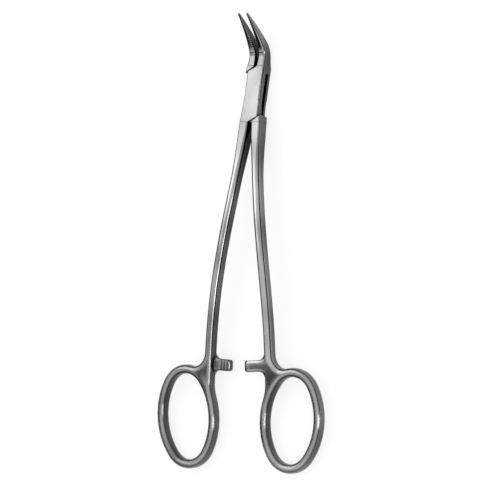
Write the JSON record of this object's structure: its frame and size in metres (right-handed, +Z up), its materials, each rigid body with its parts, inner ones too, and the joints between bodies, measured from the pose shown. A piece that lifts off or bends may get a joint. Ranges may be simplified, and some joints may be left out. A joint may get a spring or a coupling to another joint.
{
  "type": "hemostat forceps",
  "caption": "Locking forceps with a box lock, bent serrated jaws, a ratchet and finger rings, lying on its back, slightly open.",
  "frame": {"origin": "middle of the bounding box at its lowest level, the surface that the forceps lies on", "axes": "+Y from the finger rings to the jaw tips, +X towards the arm of the male half, +Z up, the way the jaws bend"},
  "size_m": [0.064, 0.1412, 0.0119],
  "materials": {
    "forceps_steel": "satin",
    "pin_steel": "satin"
  },
  "bodies": {
    "female": {"female_half": "forceps_steel", "pivot_pin": "pin_steel"},
    "male": {"male_half": "forceps_steel"}
  },
  "joints": [
    {"name": "box_lock", "type": "hinge", "parent": "female", "child": "male", "pos_m": [0, 0.04595, 0.00295], "axis": [0, 0.0911, 0.9958], "range_deg": [-6.5, 45]}
  ]
}
